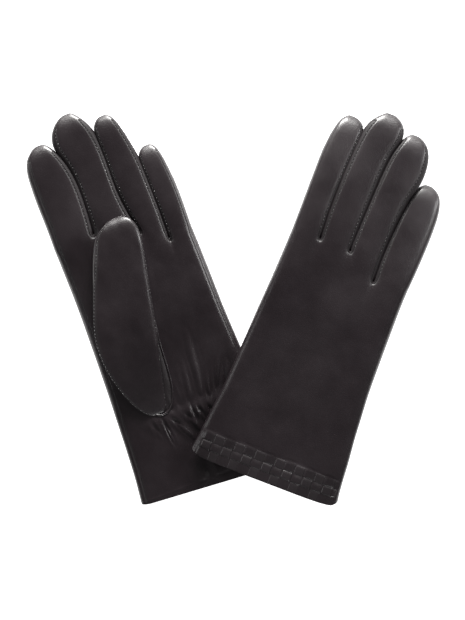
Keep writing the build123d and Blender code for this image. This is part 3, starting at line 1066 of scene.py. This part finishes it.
def make_band(side):
    """Woven band on the back of the cuff: long strips and the cross strips between them."""
    glove = GLOVES[side]
    outward = -palm_side(glove)
    left, right = glove.left_edge[0][1] + BAND_LEFT, glove.right_edge[0][1] - BAND_RIGHT
    top = BAND_FOOT + BAND_ROWS * ROW_PITCH
    dice = random.Random(7)
    longs, crosses = bmesh.new(), bmesh.new()

    def joined(target, strip):
        for v in strip.verts:
            fade = 1.0 if glove.palm_up else 1 - 0.06 * v.co.y
            middle = glove.hem(0)
            v.co.y += middle + (glove.hem(v.co.x) - middle) * fade
        shape = finished(laid(glove, strip, outward), "strip", STRIP)
        solid = shape.evaluated_get(bpy.context.evaluated_depsgraph_get())
        target.from_mesh(bpy.data.meshes.new_from_object(solid))
        bpy.data.objects.remove(shape)

    for row in range(BAND_ROWS):
        foot = BAND_FOOT + row * ROW_PITCH
        dip = dice.uniform(0.8, 1.1)

        def lift(a, b, row=row, foot=foot, dip=dip):
            share = (b - foot) / ROW_PITCH
            lower = max(0.0, 1 - share / 0.20)
            end = max(0.0, 1 - min(a - left, right - a) / END_RUN)
            ease = FLAT if row == 0 else 1.0
            over = ease * weave(math.pi * ((a - WEAVE_START) / CELL + row))
            raised = max(0.0, over)
            tilt = 0.5 * max(0.0, 2 * share - 1) ** 2 if row == 1 else 0.3 * (0.5 - share)
            return (WEAVE_LIFT + dip * WEAVE_SWING * over - raised * tilt
                    - raised * (1 - math.sqrt(1 - lower ** 2)) - 0.5 * end ** 2)

        joined(longs, ribbon((left, right), (foot + ROW_GAP, foot + ROW_PITCH - ROW_GAP),
                             (150, 14), lift, gather=1.7))
    for number in range(math.ceil(left / CELL), math.floor((right - WEAVE_START) / CELL) + 1):
        centre = WEAVE_START + number * CELL + dice.uniform(-0.2, 0.2)
        dip = dice.uniform(0.75, 1.15)

        def lift(a, b, number=number, centre=centre, dip=dip):
            edge = abs(a - centre) / (CELL / 2)
            rows = (b - BAND_FOOT) / ROW_PITCH
            ease = FLAT if rows < 0.95 or rows > BAND_ROWS - 0.9 else 1.0
            side_edge = min(1.0, max(0.0, (edge - 0.72) / 0.2))
            return WEAVE_LIFT - dip * ease * WEAVE_SWING * weave(
                math.pi * (number + rows - 0.5)) - 0.45 * (1 - math.sqrt(1 - side_edge ** 2))

        half = CELL / 2 - CROSS_GAP
        joined(crosses, ribbon((max(left, centre - half), min(right, centre + half)),
                               (BAND_FOOT + 0.1, top), (18, 40), lift))
    dress(finished(longs, f"{side}_band_along"), "band_leather", f"{side}_hand",
          nodes=[f"{side}_band_long_strips"])
    # The cross strips' lighter leather is a painted highlight on the weave's raised squares
    dress(finished(crosses, f"{side}_band_across"), "cross_leather_highlit", f"{side}_hand", "band_leather",
          nodes=[f"{side}_band_cross_strips"])


def tube_along(points, radius, sides=8):
    """Closed round tube through points in the glove's frame, thinner at both ends."""
    bm = bmesh.new()
    bmesh.ops.create_circle(bm, segments=sides, radius=1.0)
    angle = bm.verts.layers.float.new("angle")
    for v in bm.verts:
        v[angle] = math.atan2(v.co.y, v.co.x)
    last = len(points) - 1

    def settle(v, number):
        ahead = (points[min(number + 1, last)] - points[max(number - 1, 0)]).normalized()
        side = ahead.cross(Vector((0, 0, 1))).normalized()
        spoke = side * math.cos(v[angle]) + side.cross(ahead) * math.sin(v[angle])
        thick = radius * max(0.25, min(1.0, number / 3, (last - number) / 3))
        v.co = points[number] + spoke * thick

    for v in bm.verts:
        settle(v, 0)
    edges = list(bm.edges)
    for number in range(1, last + 1):
        edges, _ = extruded_ring(bm, edges, lambda v, number=number: settle(v, number))
    bmesh.ops.holes_fill(bm, edges=[e for e in bm.edges if e.is_boundary], sides=0)
    bmesh.ops.recalc_face_normals(bm, faces=bm.faces)
    return bm


# The thumb gusset's two ends, and a of its left and right edge by b.
GUSSET_FOOT, GUSSET_TOP = 55.4, 108
GUSSET_LEFT = ((55, -14.0), (65, -12.4), (73, -11.0), (84, -8.2), (95, -5.2), (108, -2.4))
GUSSET_RIGHT = ((55, -11.5), (58.6, -8.4), (65.5, -5.4), (75, -3.6), (86, -2.9), (98, -2.3),
                (108, -0.8))
GUSSET_SINK, GUSSET_SWELL = 0.4, 1.5


def make_gusset(side):
    """Leather wedge between the thumb and the palm."""
    glove = GLOVES[side]

    def swell(a, b):
        share = (b - GUSSET_FOOT) / (GUSSET_TOP - GUSSET_FOOT)
        return GUSSET_SWELL * math.sin(math.pi * share) ** 0.5 - GUSSET_SINK

    bm = ribbon((0, 1), (GUSSET_FOOT, GUSSET_TOP), (10, 44), swell)
    for v in bm.verts:
        share, b, height = v.co
        left, right = curve(GUSSET_LEFT, b), curve(GUSSET_RIGHT, b)
        v.co.x = left + (right - left) * share
        v.co.z = 0.1 + height * math.sin(math.pi * min(1.0, 0.12 + share * 1.02)) ** 0.8
    # The gusset takes the darker side leather, a painted shade in the slit beside the thumb
    dress(finished(laid(glove, bm, palm_side(glove)), f"{side}_thumb_quirk", FACING),
          "side_leather", f"{side}_hand", nodes=[f"{side}_thumb_gusset"])


WELT_RADIUS, WELT_RISE = 0.62, 0.15


def make_welt(side):
    """Turned edge of the palm round the thumb's root."""
    glove = GLOVES[side]
    up = palm_side(glove)
    points = []
    for (b0, a0), (b1, a1) in zip(WELT, WELT[1:]):
        for step in range(4):
            a, b = a0 + (a1 - a0) * step / 4, b0 + (b1 - b0) * step / 4
            points.append(Vector((a, b, surface_level(glove, a, b, up) + up * WELT_RISE)))
    for _ in range(3):
        for k in range(1, len(points) - 1):
            points[k] = (points[k - 1] + points[k] * 2 + points[k + 1]) / 4
    welt = settled(glove, tube_along(points, WELT_RADIUS))
    dress(finished(welt, f"{side}_thumb_welt"), "leather", f"{side}_hand")


ELASTIC_HALF, ELASTIC_B = 30, (47.5, 53.5)       # half its length, and b of its two edges
ELASTIC_LEVEL = -1.5                             # under the leather's outer surface


def make_elastic(side):
    """Wrist elastic between the palm leather and the lining, drawn into small waves."""
    glove = GLOVES[side]
    elastic = ribbon((-ELASTIC_HALF, ELASTIC_HALF), ELASTIC_B, (120, 4),
                     lambda a, b: ELASTIC_LEVEL + 0.2 * math.sin(a * 1.9))
    dress(finished(laid(glove, elastic, palm_side(glove)), f"{side}_gathering_elastic", ELASTIC),
          "elastic", f"{side}_hand", nodes=[f"{side}_wrist_elastic"])


# ------------------------------------------------------------------------ stage

FLOOR_SIZE, FLOOR_LEVEL = 3.0, -0.0002           # just under the leather
SENSOR = 36.0                                    # long side of the camera's film, in millimetres
CAMERA_SPOT, GLOVE_LEVEL = (0.0002, 0.0026), 0.010


def make_stage(settings):
    """Floor, soft lights and the camera that looks straight down."""
    bm = bmesh.new()
    bmesh.ops.create_grid(bm, x_segments=1, y_segments=1, size=FLOOR_SIZE)
    floor = finished(bm, "floor")
    paper = bpy.data.materials.new("White paper")
    paper.use_nodes = True
    tree = paper.node_tree
    fill(tree, tree.nodes["Principled BSDF"], {
        "Base Color": (0.9, 0.9, 0.9, 1), "Roughness": 0.9, "Specular IOR Level": 0.1,
        "Emission Color": (1, 1, 1, 1), "Emission Strength": settings.table_light})
    floor.data.materials.append(paper)
    floor.location.z = FLOOR_LEVEL

    world = bpy.data.worlds.new("Studio")
    world.use_nodes = True
    fill(world.node_tree, world.node_tree.nodes["Background"],
         {"Color": (1, 1, 1, 1), "Strength": settings.room_light})
    bpy.context.scene.world = world
    for name, spot, size, power, tint in (
            ("top softbox", (0.0, 1.5, 0.45), (0.9, 0.40), settings.key_power, (1, 0.99, 0.97)),
            ("right softbox", (1.3, 0.7, 0.8), (0.4, 1.2), settings.side_power, (1, 1, 1)),
            ("left softbox", (-1.45, 0.3, 0.8), (0.3, 1.2), settings.side_power * 0.2, (1, 1, 1)),
            ("low softbox", (0.3, -1.5, 0.55), (0.5, 0.2), settings.side_power * 0.9, (1, 1, 1))):
        light = bpy.data.lights.new(name, "AREA")
        light.shape = "RECTANGLE"
        light.size, light.size_y = size
        light.energy = power
        light.color = tint
        lamp = bpy.data.objects.new(name, light)
        lamp.location = spot
        lamp.rotation_euler = (-Vector(spot)).to_track_quat("-Z", "Y").to_euler()
        bpy.context.scene.collection.objects.link(lamp)

    lens = bpy.data.cameras.new("camera")
    lens.lens = SENSOR * settings.camera_height / settings.view_height
    camera = bpy.data.objects.new("camera", lens)
    camera.location = (*CAMERA_SPOT, settings.camera_height + GLOVE_LEVEL)
    bpy.context.scene.collection.objects.link(camera)
    bpy.context.scene.camera = camera
    bpy.context.scene.view_settings.view_transform = "Standard"


# ------------------------------------------------------------------------ the add-on

class GloveFinish(bpy.types.PropertyGroup):
    """Colours and surface of the leather."""
    leather_dark: FloatVectorProperty(name="Dark tone", description="Darkest shade of the leather",
                                      subtype="COLOR", default=(0.0064, 0.0040, 0.0051))
    leather_light: FloatVectorProperty(name="Light tone",
                                       description="Lightest shade of the leather",
                                       subtype="COLOR", default=(0.0126, 0.0080, 0.0102))
    roughness: FloatProperty(name="Roughness", description="Roughness of the leather", default=0.37,
                             min=0.0, max=1.0)
    coat: FloatProperty(name="Finish coat", description="Weight of the glossy finish", default=0.28,
                        min=0.0, max=1.0)
    fineness: IntProperty(name="Fineness", description="Subdivision of the leather", default=3,
                          min=1, max=4)


class GloveStage(bpy.types.PropertyGroup):
    """Lights and camera."""
    camera_height: FloatProperty(name="Camera height", description="Camera above the gloves",
                                 default=1.4, unit="LENGTH")
    view_height: FloatProperty(name="View height", description="Height of the view at the gloves",
                               default=0.403, unit="LENGTH")
    room_light: FloatProperty(name="Room light", description="Strength of the room's light",
                              default=0.085)
    table_light: FloatProperty(name="Table light", description="Glow of the pale surface",
                               default=1.0)
    key_power: FloatProperty(name="Top light",
                             description="Power of the softbox past the fingertips",
                             default=80.0, unit="POWER")
    side_power: FloatProperty(name="Side light", description="Power of the softbox on the right",
                              default=17.0, unit="POWER")


class GLOVES_OT_materials(bpy.types.Operator):
    """Make the leather, thread and lining materials"""
    bl_idname = "gloves.materials"
    bl_label = "Materials"

    def execute(self, context):
        make_materials(context.scene.glove_finish)
        return {"FINISHED"}


class GLOVES_OT_leather(bpy.types.Operator):
    """Make the hand and finger leather of both gloves"""
    bl_idname = "gloves.leather"
    bl_label = "Hands and fingers"

    def execute(self, context):
        for side in GLOVES:
            make_leather(side, context.scene.glove_finish.fineness)
        return {"FINISHED"}


class GLOVES_OT_lining(bpy.types.Operator):
    """Make the linings and the facings turned in at the hems"""
    bl_idname = "gloves.lining"
    bl_label = "Linings"

    def execute(self, context):
        for side in GLOVES:
            make_lining(side, max(context.scene.glove_finish.fineness - 1, 1))
        return {"FINISHED"}


class GLOVES_OT_thumbs(bpy.types.Operator):
    """Make both thumbs"""
    bl_idname = "gloves.thumbs"
    bl_label = "Thumbs"

    def execute(self, context):
        for side in GLOVES:
            make_thumb(side, context.scene.glove_finish.fineness)
        return {"FINISHED"}


class GLOVES_OT_band(bpy.types.Operator):
    """Make the woven bands of both cuffs"""
    bl_idname = "gloves.band"
    bl_label = "Woven bands"

    def execute(self, context):
        for side in GLOVES:
            make_band(side)
        return {"FINISHED"}


class GLOVES_OT_small_parts(bpy.types.Operator):
    """Make the thumb gussets, the welts and the wrist elastics"""
    bl_idname = "gloves.small_parts"
    bl_label = "Gussets and elastics"

    def execute(self, context):
        for side in GLOVES:
            make_gusset(side)
            make_welt(side)
            make_elastic(side)
        return {"FINISHED"}


class GLOVES_OT_stage(bpy.types.Operator):
    """Make the floor, the lights and the camera"""
    bl_idname = "gloves.stage"
    bl_label = "Stage"

    def execute(self, context):
        make_stage(context.scene.glove_stage)
        return {"FINISHED"}


OPERATORS = (GLOVES_OT_materials, GLOVES_OT_leather, GLOVES_OT_lining, GLOVES_OT_thumbs,
             GLOVES_OT_band, GLOVES_OT_small_parts, GLOVES_OT_stage)


class GLOVES_PT_panel(bpy.types.Panel):
    """The pair's pieces, sizes and colours"""
    bl_idname = "GLOVES_PT_panel"
    bl_label = "Leather Gloves"
    bl_space_type = "VIEW_3D"
    bl_region_type = "UI"
    bl_category = "Gloves"

    def draw(self, context):
        layout = self.layout
        for operator in OPERATORS:
            layout.operator(operator.bl_idname)
        for group in (context.scene.glove_finish, context.scene.glove_stage):
            for name in group.bl_rna.properties.keys():
                if name not in ("rna_type", "name"):
                    layout.prop(group, name)


CLASSES = (GloveFinish, GloveStage, *OPERATORS, GLOVES_PT_panel)


def register():
    for item in CLASSES:
        bpy.utils.register_class(item)
    bpy.types.Scene.glove_finish = PointerProperty(type=GloveFinish)
    bpy.types.Scene.glove_stage = PointerProperty(type=GloveStage)


def unregister():
    del bpy.types.Scene.glove_finish
    del bpy.types.Scene.glove_stage
    for item in reversed(CLASSES):
        bpy.utils.unregister_class(item)


def main():
    """Registers the add-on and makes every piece."""
    register()
    bpy.ops.gloves.materials()
    bpy.ops.gloves.leather()
    bpy.ops.gloves.lining()
    bpy.ops.gloves.thumbs()
    bpy.ops.gloves.band()
    bpy.ops.gloves.small_parts()
    bpy.ops.gloves.stage()


if __name__ == "__main__":
    main()
